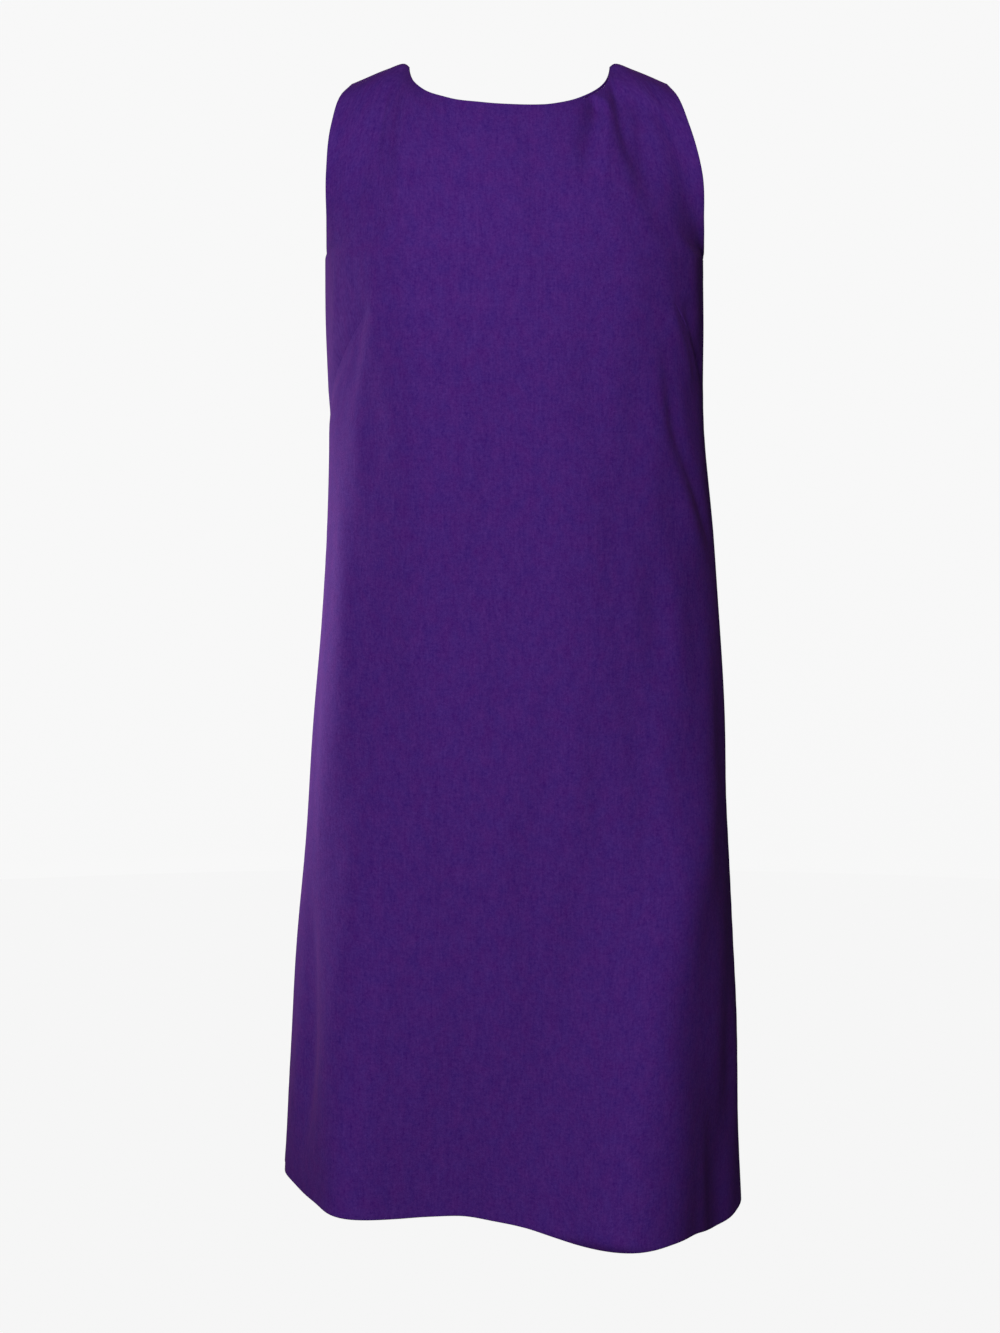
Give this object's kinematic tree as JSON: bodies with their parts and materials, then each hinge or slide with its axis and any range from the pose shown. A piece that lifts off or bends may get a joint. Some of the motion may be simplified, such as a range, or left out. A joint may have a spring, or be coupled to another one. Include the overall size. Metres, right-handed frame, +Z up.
{
  "type": "shift dress",
  "caption": "Sleeveless knee-length A-line shift dress in plain crepe, held open on the form it takes when worn, with bust darts and a concealed centre-back zip.",
  "frame": {"origin": "midway between the tops of the two shoulder seams, close to the neck, at their height: where the wearer's shoulders hold the dress", "axes": "+X to the wearer's left, +Y to the wearer's back, +Z up; side and shoulder seams lie in the plane y = 0"},
  "size_m": [0.3778, 0.2983, 0.9273],
  "materials": {
    "dress_cloth": "matt purple crepe with a fine even grain",
    "zip_tape": "woven polyester tape and nylon coil, dyed to match",
    "zip_metal": "purple enamel, slight gloss"
  },
  "bodies": {
    "dress": {"front_bodice": "dress_cloth", "front_waist": "dress_cloth", "front_skirt": "dress_cloth", "back_left_bodice": "dress_cloth", "back_left_waist": "dress_cloth", "back_left_skirt": "dress_cloth", "back_right_bodice": "dress_cloth", "back_right_waist": "dress_cloth", "back_right_skirt": "dress_cloth", "zip_tape": "zip_tape", "zip_slider": "zip_metal"},
    "pull": {"zip_pull": "zip_metal"}
  },
  "joints": [
    {"name": "pull_swing", "type": "hinge", "parent": "dress", "child": "pull", "pos_m": [0.00061, 0.07609, -0.04568], "axis": [1, 0, 0], "range_deg": [0, 165]}
  ]
}
